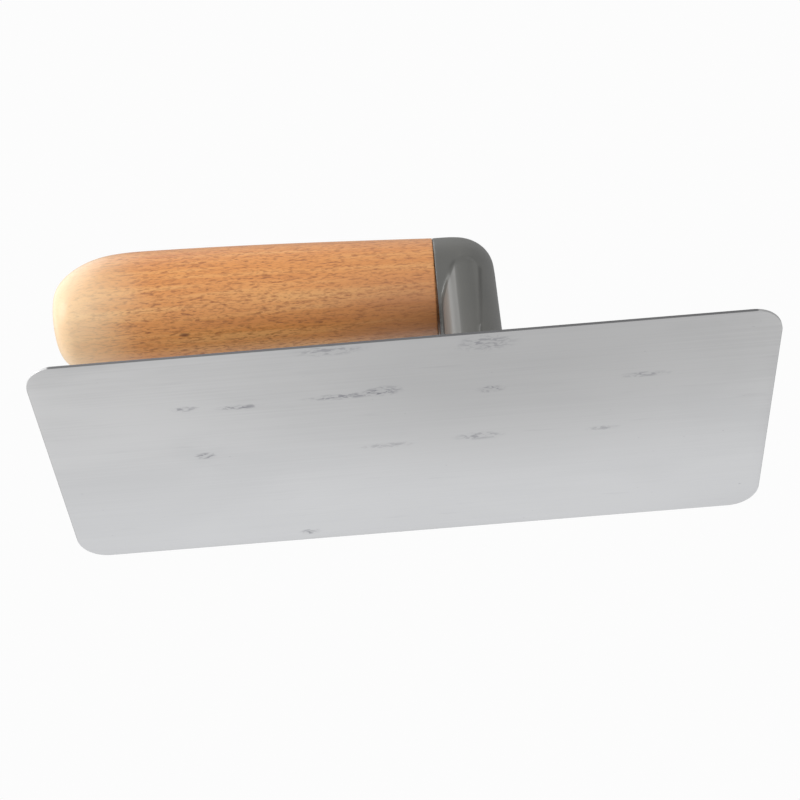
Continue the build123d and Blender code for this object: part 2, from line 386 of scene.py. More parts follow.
@dataclass(frozen=True)
class RolledSteel:
    """Duller rolled strip, heat-tinted round its spot welds."""

    bare: Colour = (0.34, 0.34, 0.35)
    shadowed: Colour = (0.28, 0.28, 0.292)
    straw: Colour = (0.42, 0.27, 0.12)
    blued: Colour = (0.13, 0.145, 0.20)
    weld_pitch: float = 0.016
    weld_row: float = 0.008

    def material(self) -> Material:
        """Builds the finish."""
        skin = Surface("Rolled steel")
        x, y, _ = skin.axes()
        along = x - (x / self.weld_pitch).nearest() * self.weld_pitch
        across = y.size() - self.weld_row
        away = along.beside(across)
        grain = skin.noise((60.0, 700.0, 700.0), 4.0)
        scale = skin.noise((180.0, 180.0, 180.0), 5.0, 0.5)
        colour = skin.mix(skin.step(scale, 0.42, 0.66), self.bare, self.shadowed)
        burnt = away + scale * 0.0014
        colour = skin.mix(skin.step(burnt, 0.0050, 0.0038) * 0.45, colour, self.straw)
        colour = skin.mix(skin.step(burnt, 0.0040, 0.0030) * 0.55, colour, self.blued)
        dull = grain * 0.14 + scale * 0.16 + 0.28
        normal = skin.relief(grain * 0.4 + scale, 0.00006)
        return skin.finish({"Base Color": colour, "Roughness": dull, "Metallic": 1.0, "Normal": normal})


@dataclass(frozen=True)
class ZincPlate:
    """Bright zinc plating with a faint blue and straw cast."""

    bluish: Colour = (0.60, 0.63, 0.68)
    straw: Colour = (0.66, 0.62, 0.50)

    def material(self) -> Material:
        """Builds the finish."""
        skin = Surface("Zinc plate")
        cast = skin.noise((120.0, 120.0, 120.0), 2.0, 1.0)
        frost = skin.noise((1400.0, 1400.0, 1400.0), 4.0)
        colour = skin.mix(skin.step(cast, 0.40, 0.70), self.bluish, self.straw)
        dull = frost * 0.18 + cast * 0.10 + 0.14
        normal = skin.relief(frost, 0.00002)
        return skin.finish({"Base Color": colour, "Roughness": dull, "Metallic": 1.0, "Normal": normal})


@dataclass(frozen=True)
class GreyPlastic:
    """Semi-gloss moulded plastic with a fine skin, flow marks and a mould's parting line, and painted light
    and shade.
    """

    body: Colour = (0.086, 0.086, 0.079)
    worn: Colour = (0.118, 0.115, 0.104)
    roughness: float = 0.30
    wear_and_painted_light: Colour = (0.165, 0.163, 0.155)
    crease_shade: Colour = (0.035, 0.034, 0.030)
    parting_width: float = 0.00025
    corner_x: float = 0.0183
    arch_front: float = 0.0265
    arch_height: float = 0.0577
    arch_lean: float = 0.0769
    arch_steepness: float = 2.75

    def material(self) -> Material:
        """Builds the finish."""
        skin = Surface("Grey moulded plastic")
        x, y, z = skin.axes()
        flow = skin.noise((40.0, 40.0, 22.0), 3.0, 1.4)
        skin_grain = skin.noise((1100.0, 1100.0, 1100.0), 3.0)
        hairline = skin.noise((120.0, 120.0, 1600.0), 2.0, 0.4)
        scratch = skin.step(hairline, 0.70, 0.78)
        colour = skin.mix(skin.step(flow, 0.35, 0.72) * 0.5, self.body, self.worn)
        colour = skin.mix(scratch * 0.22, colour, self.worn)
        # Painted reflection, partly rubbing wear: the column's rear corners below the arch are painted paler
        # where the light from the left is reflected.
        corner = skin.step(x + flow * 0.0006, self.corner_x + 0.0006, self.corner_x)
        corner = corner * skin.step(y.size(), 0.007, 0.010)
        arched = skin.step(z - x * self.arch_steepness, 0.0100, 0.0085)
        colour = skin.mix(corner * arched * skin.step(z, 0.014, 0.022), colour, self.wear_and_painted_light)
        # Painted shade: a dark line along the arch's front crease, below the arch, where shade falls in the
        # crease.
        below = z.at_most(self.arch_height) - self.arch_height
        crease = (x - self.arch_front - below * self.arch_lean).size()
        crease_shade_mask = skin.step(crease + flow * 0.0002, 0.0011, 0.0002) * skin.step(y.size(), 0.009, 0.012)
        under_arch = skin.step(z, self.arch_height + 0.002, self.arch_height)
        colour = skin.mix(crease_shade_mask * under_arch * 0.7, colour, self.crease_shade)
        dull = flow * 0.07 + skin_grain * 0.06 + scratch * 0.12 + (self.roughness - 0.065)
        parting = skin.step(y.size(), self.parting_width, 0.0)
        normal = skin.relief(skin_grain * 0.12 + flow * 0.5 + parting * 0.8, 0.00005)
        sockets = {"Base Color": colour, "Roughness": dull, "Normal": normal, "IOR": 1.62}
        return skin.finish(sockets)


@dataclass(frozen=True)
class Beech:
    """Satin varnished beech: ribboned growth layers, short dark flecks and one small pin knot, with painted
    light and shade at its ends.
    """

    pale: Colour = (0.82, 0.43, 0.148)
    warm: Colour = (0.71, 0.295, 0.080)
    deep: Colour = (0.60, 0.216, 0.054)
    pore: Colour = (0.40, 0.142, 0.038)
    fleck: Colour = (0.17, 0.060, 0.022)
    bleached_and_lit: Colour = (0.90, 0.69, 0.43)
    grime_and_shade: Colour = (0.40, 0.17, 0.075)
    knot: Triple = (-0.0700, -0.0062, 0.0470)
    butt_x: float = -0.113
    neck_x: float = 0.012

    def material(self) -> Material:
        """Builds the finish."""
        skin = Surface("Varnished beech")
        x, _, z = skin.axes()
        layers = skin.noise((5.0, 90.0, 90.0), 4.0, 0.8)
        ribbon = skin.noise((18.0, 420.0, 420.0), 4.0, 0.5)
        fibre = skin.noise((60.0, 2400.0, 2400.0), 3.0)
        tone = layers * 0.55 + ribbon * 0.35 + fibre * 0.10
        stops = ((0.34, self.pale), (0.50, self.warm), (0.66, self.deep))
        colour = skin.ramp(tone, stops)
        dash = skin.noise((360.0, 1500.0, 1500.0), 2.0, 0.2)
        short = skin.noise((560.0, 2300.0, 2300.0), 2.0, shift=(3.0, 7.0, 1.0))
        pores = (skin.step(dash, 0.50, 0.64) * 0.58 + skin.step(short, 0.50, 0.64) * 0.42).held()
        colour = skin.mix(pores, colour, self.pore)
        flecks = skin.step(dash * 0.7 + ribbon * 0.3, 0.62, 0.71)
        colour = skin.mix(flecks * 0.45, colour, self.fleck)
        patch = skin.noise((26.0, 60.0, 60.0), 3.0, 0.6, shift=(2.0, 5.0, 4.0))
        # Darker, redder wood towards the neck, partly handling grime and partly painted shade; the extra
        # darkening on the grip's lower side there is painted shade, where the blade shades the grip.
        wear_and_painted_light = skin.step(x + patch * 0.05, self.neck_x - 0.030, self.neck_x + 0.028)
        lower = skin.step(z + patch * 0.012, 0.066, 0.050)
        colour = skin.mix((wear_and_painted_light * 0.25 + wear_and_painted_light * lower * 0.45).held(), colour, self.grime_and_shade)
        # Paler wood at the butt end: partly bleaching, partly a painted highlight from the light on the left.
        end = skin.step(x + patch * 0.02, self.butt_x + 0.044, self.butt_x + 0.008)
        colour = skin.mix(end * 0.80, colour, self.bleached_and_lit)
        from_knot = {0: skin.place(), 1: self.knot}
        knot_at = skin.node("ShaderNodeVectorMath", {"operation": "SUBTRACT"}, from_knot)
        long_knot = {0: knot_at, 1: (0.42, 1.0, 1.0)}
        stretched = skin.node("ShaderNodeVectorMath", {"operation": "MULTIPLY"}, long_knot)
        away = skin.node("ShaderNodeVectorMath", {"operation": "LENGTH"}, {0: stretched}, output="Value")
        colour = skin.mix(skin.step(away + fibre * 0.0006, 0.0013, 0.0005) * 0.9, colour, self.fleck)
        dull = ribbon * 0.10 + pores * 0.16 + 0.34
        height = ribbon * 0.4 + fibre * 0.2 - pores * 0.5 - flecks * 0.5
        normal = skin.relief(height, 0.00009)
        sockets = {"Base Color": colour, "Roughness": dull, "Normal": normal}
        sockets |= {"Coat Weight": 0.45, "Coat Roughness": 0.22, "Specular IOR Level": 0.35}
        return skin.finish(sockets)


@dataclass
class Finishes:
    """Every finish, made once."""

    blade: Material = field(default_factory=lambda: GroundSteel().material())
    bar: Material = field(default_factory=lambda: RolledSteel().material())
    zinc: Material = field(default_factory=lambda: ZincPlate().material())
    plastic: Material = field(default_factory=lambda: GreyPlastic().material())
    beech: Material = field(default_factory=lambda: Beech().material())


# --- meshes ---


def ring(radius: float, height: float, around: int, flats: int = 0) -> list[Vector]:
    """Points round the Z axis at one height.

    Args:
        radius: The radius, or half the distance over flats.
        height: The height.
        around: How many points.
        flats: The number of flats of a polygon, or 0 for a circle.

    Returns:
        The points.
    """
    points = []
    for step in range(around):
        turn = 2 * math.pi * step / around
        reach = radius
        if flats:
            sector = 2 * math.pi / flats
            reach = radius / math.cos((turn % sector) - sector / 2)
        points.append(Vector((reach * math.cos(turn), reach * math.sin(turn), height)))
    return points


def skin_rings(name: str, rings: Sequence[Sequence[Vector]], closed: bool = False) -> Mesh:
    """A closed mesh through rings of equal count.

    Args:
        name: The mesh's name.
        rings: The rings in order.
        closed: Whether the last ring joins the first, as on a washer, or both ends are capped.

    Returns:
        The mesh, its faces outward.
    """
    build = bmesh.new()
    rows = [[build.verts.new(point) for point in points] for points in rings]
    pairs = list(zip(rows, rows[1:]))
    if closed:
        pairs.append((rows[-1], rows[0]))
    for lower, upper in pairs:
        count = len(lower)
        for step in range(count):
            after = (step + 1) % count
            build.faces.new((lower[step], lower[after], upper[after], upper[step]))
    if not closed:
        build.faces.new(list(reversed(rows[0])))
        build.faces.new(rows[-1])
    return close_up(build, name)


def close_up(build: bmesh.types.BMesh, name: str) -> Mesh:
    """Merges doubles, turns the faces outward and writes a mesh."""
    bmesh.ops.remove_doubles(build, verts=build.verts, dist=1e-7)
    bmesh.ops.recalc_face_normals(build, faces=build.faces)
    mesh = bpy.data.meshes.new(name)
    build.to_mesh(mesh)
    build.free()
    return mesh


def shade(mesh: Mesh, degrees: float) -> None:
    """Smooths a mesh, keeping edges sharper than an angle."""
    mesh.shade_smooth()
    mesh.set_sharp_from_angle(angle=math.radians(degrees))


def new_object(name: str, data: ID) -> Object:
    """A new object in the scene."""
    made = bpy.data.objects.new(name, data)
    bpy.context.scene.collection.objects.link(made)
    return made


def add_piece(
    name: str,
    mesh: Mesh,
    material: Material,
    node: str | None = None,
) -> Object:
    """Puts a mesh into the scene as a piece of the trowel.

    Args:
        name: The piece's name.
        mesh: Its mesh, in place.
        material: Its finish.
        node: The frame node that it replaces, if any.

    Returns:
        The object.
    """
    mesh.materials.clear()
    mesh.materials.append(material)
    piece = new_object(name, mesh)
    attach(piece, BODY)
    if node:
        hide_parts(node)
    return piece


def span(node: str) -> tuple[Vector, Vector]:
    """The low and high corners of a frame node's box."""
    low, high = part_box(node)
    return Vector(low), Vector(high)


def middle(node: str) -> Vector:
    """The middle of a frame node's box."""
    low, high = span(node)
    return (low + high) / 2


def thickness(node: str) -> float:
    """How far a frame node reaches along Z."""
    low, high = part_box(node)
    return high[2] - low[2]


def merged(mesh: Mesh, name: str) -> Mesh:
    """A copy of a mesh with its doubles merged."""
    build = bmesh.new()
    build.from_mesh(mesh)
    return close_up(build, name)


def plain_mesh(source: Object, name: str) -> Mesh:
    """The evaluated mesh of an object with modifiers; the object and its modifiers are removed.

    Args:
        source: The object.
        name: The new mesh's name.

    Returns:
        The plain mesh.
    """
    graph = bpy.context.evaluated_depsgraph_get()
    graph.update()
    mesh = bpy.data.meshes.new_from_object(source.evaluated_get(graph))
    mesh.name = name
    source.modifiers.clear()
    bpy.data.objects.remove(source)
    return mesh


# --- geometry graphs ---


class ShapeGraph(Graph):
    """A Geometry Nodes tree with named inputs, which a modifier runs once."""

    SOCKETS = {
        float: "NodeSocketFloat",
        int: "NodeSocketInt",
        Vector: "NodeSocketVector",
        Object: "NodeSocketObject",
        Material: "NodeSocketMaterial",
    }

    def __init__(self, name: str, inputs: Mapping[str, Any]) -> None:
        """Makes the tree and its inputs.

        Args:
            name: The tree's name.
            inputs: The value of each named input.
        """
        super().__init__(bpy.data.node_groups.new(name, "GeometryNodeTree"))
        self.values: dict[str, Any] = {}
        face = self.tree.interface
        face.new_socket("Geometry", in_out="OUTPUT", socket_type="NodeSocketGeometry")
        for label, value in inputs.items():
            kind = next(word for known, word in self.SOCKETS.items() if isinstance(value, known))
            socket = face.new_socket(label, in_out="INPUT", socket_type=kind)
            self.values[socket.identifier] = value
        self.entry = self.tree.nodes.new("NodeGroupInput")

    def given(self, label: str) -> Term:
        """The term of a named input."""
        return Term(self, self.entry.outputs[label])

    def finish(self, geometry: Term) -> None:
        """Ends the tree in Realize Instances and Set Material."""
        real = self.node("GeometryNodeRealizeInstances", None, {0: geometry})
        dressed = self.node("GeometryNodeSetMaterial", None, {0: real, "Material": self.given("Material")})
        self.node("NodeGroupOutput", None, {0: dressed})

    def run(self, name: str) -> Mesh:
        """Runs the tree on an empty object.

        Args:
            name: The mesh's name.

        Returns:
            The plain mesh it makes.
        """
        holder = new_object(name, bpy.data.meshes.new(name))
        modifier = holder.modifiers.new(name, "NODES")
        modifier.node_group = self.tree
        for identifier, value in self.values.items():
            modifier[identifier] = tuple(value) if isinstance(value, Vector) else value
        holder.update_tag()
        return plain_mesh(holder, name)


def repeat_in_line(
    name: str,
    part: Mesh,
    count: int,
    start: Vector,
    step: Vector,
    material: Material,
) -> Mesh:
    """Copies of one part on a straight line, made by Geometry Nodes.

    Args:
        name: The mesh's name.
        part: The part, standing at the origin.
        count: How many.
        start: The first place.
        step: From each place to the next.
        material: The finish.

    Returns:
        One mesh of them all.
    """
    model = new_object(name + "_part", part)
    inputs = {"Part": model, "Count": count, "Start": start, "Step": step, "Material": material}
    shape = ShapeGraph(name, inputs)
    labels = {"Count": "Count", "Start Location": "Start", "Offset": "Step"}
    sockets = {socket: shape.given(label) for socket, label in labels.items()}
    line = shape.node("GeometryNodeMeshLine", {"mode": "OFFSET", "count_mode": "TOTAL"}, sockets)
    info = shape.node("GeometryNodeObjectInfo", None, {"Object": shape.given("Part")}, output="Geometry")
    copies = shape.node("GeometryNodeInstanceOnPoints", None, {"Points": line, "Instance": info})
    shape.finish(copies)
    mesh = shape.run(name)
    bpy.data.objects.remove(model)
    return mesh


# --- fasteners ---


@dataclass
class Thread:
    """A metric outside thread, standing on z = 0."""

    diameter: float
    pitch: float
    chamfer: float = 0.0007
    around: int = 36
    rows_per_turn: int = 8
    depth_share: float = 0.55
    flank: float = 1.25

    def radius(self, height: float, turn: float, length: float) -> float:
        """The screw's radius at a height and an angle, with its end chamfered."""
        depth = self.depth_share * self.pitch
        phase = (height / self.pitch + turn / (2 * math.pi)) % 1.0
        crest = self.diameter / 2 - depth * min(1.0, self.flank * abs(2 * phase - 1))
        return min(crest, self.diameter / 2 - self.chamfer + (length - height))

    def rings(self, length: float, start: float = 0.0) -> list[list[Vector]]:
        """The rings of a threaded length."""
        rows = max(2, round(length / self.pitch * self.rows_per_turn))
        made = []
        for row in range(rows + 1):
            height = length * row / rows
            points = []
            for step in range(self.around):
                turn = 2 * math.pi * step / self.around
                reach = self.radius(height, turn, length)
                points.append(Vector((reach * math.cos(turn), reach * math.sin(turn), start + height)))
            made.append(points)
        return made


@dataclass
class HexNut:
    """A hexagon nut standing on z = 0, with turned corners and a countersunk bore."""

    flats: float
    height: float
    bore: float
    around: int = 72
    countersink: float = 0.0004
    turning: float = 0.00045
    turning_slope: float = 1.9
    face_share: float = 0.97

    def mesh(self, name: str) -> Mesh:
        """The nut's mesh."""
        corner = self.flats / math.sqrt(3)
        face = self.flats / 2 * self.face_share
        levels = (0.0, self.turning, 2 * self.turning, self.height / 2)
        sides = [(face + level * self.turning_slope, level) for level in levels]
        outer = [self._row(reach, level, corner) for reach, level in sides]
        outer += [self._row(reach, self.height - level, corner) for reach, level in reversed(sides[:-1])]
        mouth = self.bore / 2 + self.countersink
        inner = [
            ring(mouth, self.height, self.around),
            ring(self.bore / 2, self.height - self.countersink, self.around),
            ring(self.bore / 2, self.countersink, self.around),
            ring(mouth, 0.0, self.around),
        ]
        mesh = skin_rings(name, outer + inner, closed=True)
        shade(mesh, 28)
        return mesh

    def _row(self, reach: float, level: float, corner: float) -> list[Vector]:
        """One row of the outside: the hexagon, held inside the turned cone."""
        points = []
        for point in ring(self.flats / 2, level, self.around, flats=6):
            radius = min(point.xy.length, max(reach, self.flats / 2 * self.face_share), corner)
            limited = point.xy.normalized() * radius
            points.append(Vector((limited.x, limited.y, level)))
        return points


@dataclass
class PlainWasher:
    """A plain washer standing on z = 0, its edges a little rounded."""

    outer: float
    bore: float
    thickness: float
    edge: float = 0.0002
    around: int = 64

    def mesh(self, name: str) -> Mesh:
        """The washer's mesh."""
        half = self.outer / 2
        hole = self.bore / 2
        top = self.thickness
        profile = (
            (half - self.edge, 0.0),
            (half, self.edge),
            (half, top - self.edge),
            (half - self.edge, top),
            (hole + self.edge, top),
            (hole, top - self.edge),
            (hole, self.edge),
            (hole + self.edge, 0.0),
        )
        rings = [ring(radius, level, self.around) for radius, level in profile]
        mesh = skin_rings(name, rings, closed=True)
        shade(mesh, 50)
        return mesh


@dataclass
class FootFasteners:
    """The two weld studs on the bar, with the washers and nuts that hold the neck's foot."""

    finishes: Finishes
    stud_diameter: float = 0.006
    pitch: float = 0.001
    flange_diameter: float = 0.0086
    flange_thickness: float = 0.001
    washer_diameter: float = 0.012
    washer_bore: float = 0.0065
    nut_flats: float = 0.010

    def build(self) -> list[Object]:
        """Makes the studs, the washers and the nuts.

        Returns:
            The three pieces.
        """
        low, high = span("weld_studs")
        rear = Vector((low.x + self.flange_diameter / 2, 0.0, low.z))
        front = Vector((high.x - self.flange_diameter / 2, 0.0, low.z))
        step = front - rear
        made = [self._place("weld_studs", self._stud(high.z - low.z), rear, step)]
        washer = PlainWasher(self.washer_diameter, self.washer_bore, thickness("stud_washers"))
        nut = HexNut(self.nut_flats, thickness("stud_nuts"), self.stud_diameter)
        for node, part in (("stud_washers", washer.mesh("foot_washer")), ("stud_nuts", nut.mesh("foot_nut"))):
            base = Vector((rear.x, 0.0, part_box(node)[0][2]))
            made.append(self._place(node, part, base, step))
        return made

    def _stud(self, height: float) -> Mesh:
        """One stud: a flange, then the thread."""
        thread = Thread(self.stud_diameter, self.pitch)
        flange = self.flange_diameter / 2
        rings = [ring(flange, level, thread.around) for level in (0.0, self.flange_thickness * 0.7)]
        rings.append(ring(self.stud_diameter / 2, self.flange_thickness, thread.around))
        rings += thread.rings(height - self.flange_thickness - HAIR, self.flange_thickness + HAIR)
        mesh = skin_rings("stud", rings)
        shade(mesh, 40)
        return mesh

    def _place(self, node: str, part: Mesh, start: Vector, step: Vector) -> Object:
        """Repeats a part at both studs, in place of its frame node."""
        name = node + "_finished"
        mesh = repeat_in_line(name, part, 2, start, step, self.finishes.zinc)
        return add_piece(name, mesh, self.finishes.zinc, node)


# --- blade and bar ---


@dataclass
class Blade:
    """The flat blade, with rounded corners and edges eased by the grinder."""

    finishes: Finishes
    corner_radius: float = 0.009
    eased_edge: float = 0.00012
    corner_steps: int = 16

    def build(self) -> Object:
        """Makes the blade.

        Returns:
            The piece.
        """
        low, high = span("blade")
        outline = self._outline(high.x, high.y)
        rings = []
        for inset, level in self._edge(high.z - low.z):
            inward = [(x - math.copysign(inset, x), y - math.copysign(inset, y)) for x, y in outline]
            rings.append([Vector((x, y, low.z + level)) for x, y in inward])
        mesh = skin_rings("blade_sheet", rings)
        shade(mesh, 30)
        return add_piece("blade_sheet", mesh, self.finishes.blade, "blade")

    def _outline(self, half_length: float, half_width: float) -> list[tuple[float, float]]:
        """The blade's outline, from corner arc to corner arc."""
        points = []
        for corner, (side_x, side_y) in enumerate(((1, 1), (-1, 1), (-1, -1), (1, -1))):
            centre_x = side_x * (half_length - self.corner_radius)
            centre_y = side_y * (half_width - self.corner_radius)
            for step in range(self.corner_steps + 1):
                turn = math.pi / 2 * (corner + step / self.corner_steps)
                reach_x = centre_x + self.corner_radius * math.cos(turn)
                reach_y = centre_y + self.corner_radius * math.sin(turn)
                points.append((reach_x, reach_y))
        return points

    def _edge(self, thickness: float) -> list[tuple[float, float]]:
        """Inset and height of each ring up the eased edge."""
        ease = self.eased_edge
        return [
            (ease, 0.0),
            (ease * 0.3, ease * 0.3),
            (0.0, ease),
            (0.0, thickness - ease),
            (ease * 0.3, thickness - ease * 0.3),
            (ease, thickness),
        ]


@dataclass
class BackingBar:
    """The strip on the blade's back: the frame's own node, dressed, with a bead round each weld."""

    finishes: Finishes
    nodes: Mapping[str, Object]
    weld_pitch: float = 0.016
    weld_row: float = 0.008
    bead_radius: float = 0.0025
    bead_height: float = 0.00012
    bead_width: float = 0.00035
    bead_sides: int = 8
    bead_around: int = 40

    def build(self) -> list[Object]:
        """Dresses the bar and adds the weld beads that the foot leaves in view.

        Returns:
            The pieces.
        """
        bar = self.nodes["backing_bar"]
        bar.data.materials.clear()
        bar.data.materials.append(self.finishes.bar)
        low, high = span("backing_bar")
        foot_low, foot_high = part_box("neck_moulding")
        made = [bar]
        last = math.floor((high.x - (high.y - low.y) / 2) / self.weld_pitch)
        runs = {
            "rear": (-last, math.floor((foot_low[0] - self.bead_radius) / self.weld_pitch)),
            "front": (math.ceil((foot_high[0] + self.bead_radius) / self.weld_pitch), last),
        }
        for end, (first, final) in runs.items():
            for side, word in ((-1, "near"), (1, "far")):
                start = Vector((first * self.weld_pitch, side * self.weld_row, high.z - HAIR))
                name = f"weld_beads_{end}_{word}"
                step = Vector((self.weld_pitch, 0.0, 0.0))
                mesh = repeat_in_line(name, self._bead(), final - first + 1, start, step, self.finishes.bar)
                made.append(add_piece(name, mesh, self.finishes.bar))
        return made

    def _bead(self) -> Mesh:
        """The low raised ring that a weld leaves round its dimple."""
        rings = []
        for turn in range(self.bead_sides):
            angle = 2 * math.pi * turn / self.bead_sides
            reach = self.bead_radius + self.bead_width * math.cos(angle)
            rings.append(ring(reach, self.bead_height * (0.4 + 0.6 * math.sin(angle)), self.bead_around))
        mesh = skin_rings("weld_bead", rings, closed=True)
        shade(mesh, 60)
        return mesh


# --- neck ---


@dataclass
class Neck:
    """The plastic moulding: the frame's shape with its hard corners melted as a mould leaves them."""

    finishes: Finishes
    nodes: Mapping[str, Object]
    cell: float = 0.00044
    edge_passes: int = 4
    face_passes: int = 26
    seam_x: float = 0.012
    arch_front: float = 0.0265
    arch_lean: float = 4.4
    arch_radius: float = 0.0048
    arch_height: float = 0.0577
    arch_slope: float = 70.0
    foot_top: float = 0.0124
    foot_margin: float = 0.001
    crisp: float = 0.0006
    blend: float = 0.0016
    seam_band: float = 0.0009
    seam_share: float = 0.3

    def build(self) -> Object:
        """Makes the neck from a copy of the frame's node.

        Returns:
            The piece.
        """
        copy = new_object("neck_copy", merged(self.nodes["neck_moulding"].data, "neck_copy"))
        remesh = copy.modifiers.new("Even skin", "REMESH")
        remesh.mode = "VOXEL"
        remesh.voxel_size = self.cell
        even = plain_mesh(copy, "neck_even")
        soft = new_object("neck_soft", even)
        rounds = (("Faces", self.face_passes, self._broad), ("Edges", self.edge_passes, self._near))
        for name, passes, share in rounds:
            group = soft.vertex_groups.new(name=name)
            for vertex in even.vertices:
                group.add([vertex.index], share(vertex.co), "REPLACE")
            smooth = soft.modifiers.new(name, "SMOOTH")
            smooth.factor = 0.5
            smooth.iterations = passes
            smooth.vertex_group = name
        skin = plain_mesh(soft, "neck_skin")
        skin.shade_smooth()
        return add_piece("neck_skin", skin, self.finishes.plastic, "neck_moulding")

    def _from_arch(self, place: Vector) -> float:
        """How far a point stands from the arch's line, seen from the side."""
        lean = math.tan(math.radians(self.arch_lean))
        turn = math.radians(self.arch_slope)
        centre_x = self.arch_front - self.arch_radius
        right, up = place.x - centre_x, place.z - self.arch_height
        if up < 0 and right > 0:
            return abs(place.x - (self.arch_front + up * lean))
        if right * math.cos(turn) + up * math.sin(turn) < 0:
            return abs(up * math.cos(turn) - right * math.sin(turn) - self.arch_radius)
        return abs(math.hypot(right, up) - self.arch_radius)

    def _broad(self, place: Vector) -> float:
        """How much the broad faces' smoothing counts: none near an edge that stays crisp."""
        clear = min(self._from_arch(place), place.x - self.seam_x, place.z - self.foot_top - self.foot_margin)
        return max(0.0, min(1.0, (clear - self.crisp) / self.blend))

    def _near(self, place: Vector) -> float:
        """How much the edges' rounding counts: less on the seam's edge."""
        at_seam = place.z > self.foot_top and place.x < self.seam_x + self.seam_band
        return self.seam_share if at_seam else 1.0


# --- grip ---


@dataclass
class GripAxis:
    """Where the grip's axis runs, read from the washer and nut that sit on it."""

    grip_length: float = 0.1255
    counterbore_depth: float = 0.013
    washer_thickness: float = 0.0016
    nut_height: float = 0.0065

    def frame(self) -> Matrix:
        """The grip's frame: origin in the middle of the seam, +X forward along the axis."""
        washer = middle("tang_washer")
        forward = (washer - middle("tang_nut")).normalized()
        butt_to_washer = self.counterbore_depth - self.washer_thickness / 2
        seam = washer + forward * (self.grip_length - butt_to_washer)
        tilt = math.atan2(-forward.z, forward.x)
        return Matrix.Translation(seam) @ Euler((0.0, tilt, 0.0)).to_matrix().to_4x4()


